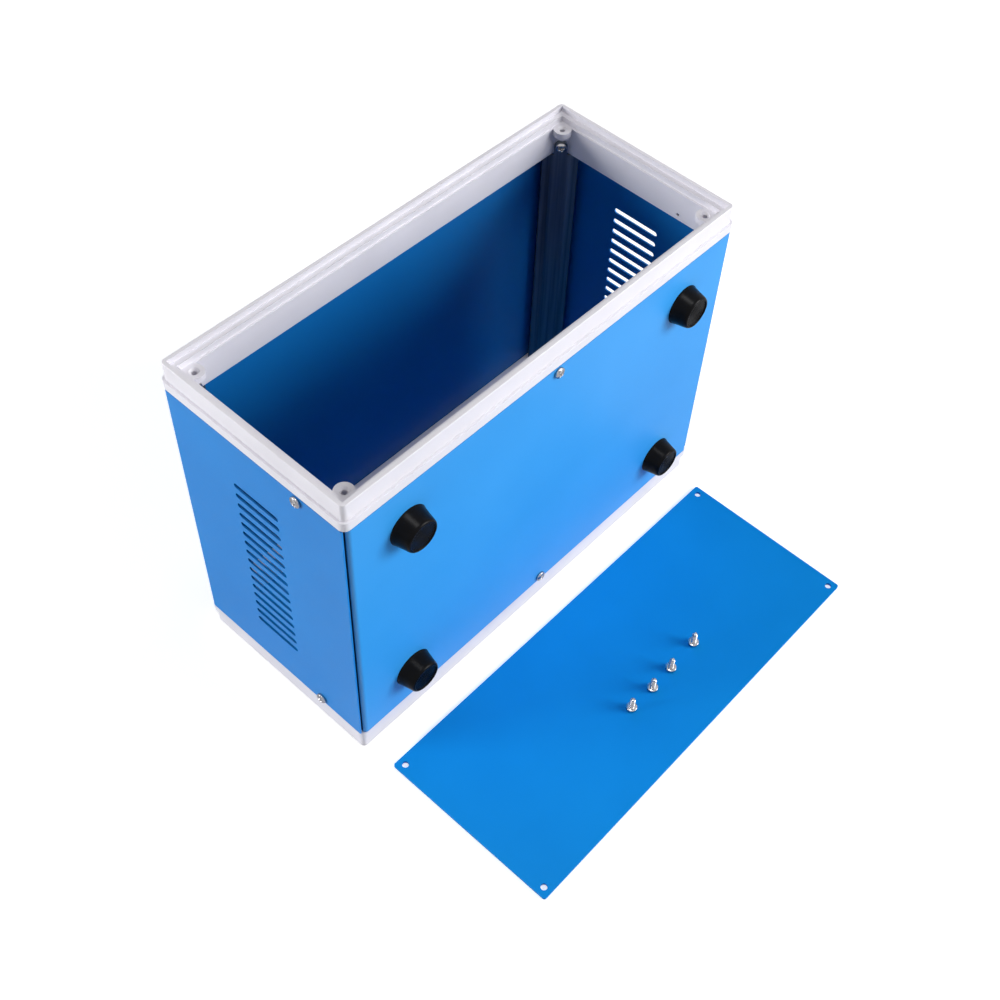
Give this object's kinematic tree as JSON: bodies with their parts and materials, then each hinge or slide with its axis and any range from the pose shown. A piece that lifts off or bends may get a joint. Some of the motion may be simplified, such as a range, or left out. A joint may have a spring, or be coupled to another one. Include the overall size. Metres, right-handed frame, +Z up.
{
  "type": "project box",
  "caption": "Ventilated box for electronics: plastic end frames, folded sheet covers, corner bars and feet, standing on its rear frame with the front panel and its screws laid beside it.",
  "frame": {"origin": "on the floor, below the middle of the box taken in plan of everything that stands there: the case on its rear frame, its feet and the laid front panel", "axes": "+X across the width of the case, from its left side to its right side seen from the feet side; +Y from the laid panel and the feet side to the top cover; +Z up, from the rear frame to the open front frame"},
  "size_m": [0.2542, 0.2232, 0.19],
  "materials": {
    "frame_plastic": "white moulded ABS, fine satin",
    "side_paint": "blue baked enamel on folded steel sheet, satin",
    "cover_paint": "blue baked enamel on folded steel sheet, satin",
    "panel_blue": "blue enamel on flat aluminium panel, satin",
    "bar_steel": "bare rolled steel strip with lengthwise streaks",
    "foot_rubber": "black moulded rubber, fine grain",
    "screw_steel": "nickel-plated steel"
  },
  "bodies": {
    "root": {"front_frame": "frame_plastic", "rear_frame": "frame_plastic", "top_cover": "side_paint", "bottom_cover": "cover_paint", "front_panel": "panel_blue", "rear_panel": "panel_blue", "corner_bar_top_left": "bar_steel", "corner_bar_top_right": "bar_steel", "corner_bar_bottom_left": "bar_steel", "corner_bar_bottom_right": "bar_steel", "foot_front_left": "foot_rubber", "foot_front_right": "foot_rubber", "foot_rear_left": "foot_rubber", "foot_rear_right": "foot_rubber", "foot_screws": "screw_steel", "foot_washers": "screw_steel", "left_side_screws": "screw_steel", "right_side_screws": "screw_steel", "bottom_screws": "screw_steel", "rear_panel_screws": "screw_steel", "front_bar_screws": "screw_steel", "rear_bar_screws": "screw_steel", "loose_screw_1": "screw_steel", "loose_screw_2": "screw_steel", "loose_screw_3": "screw_steel", "loose_screw_4": "screw_steel"}
  },
  "joints": []
}
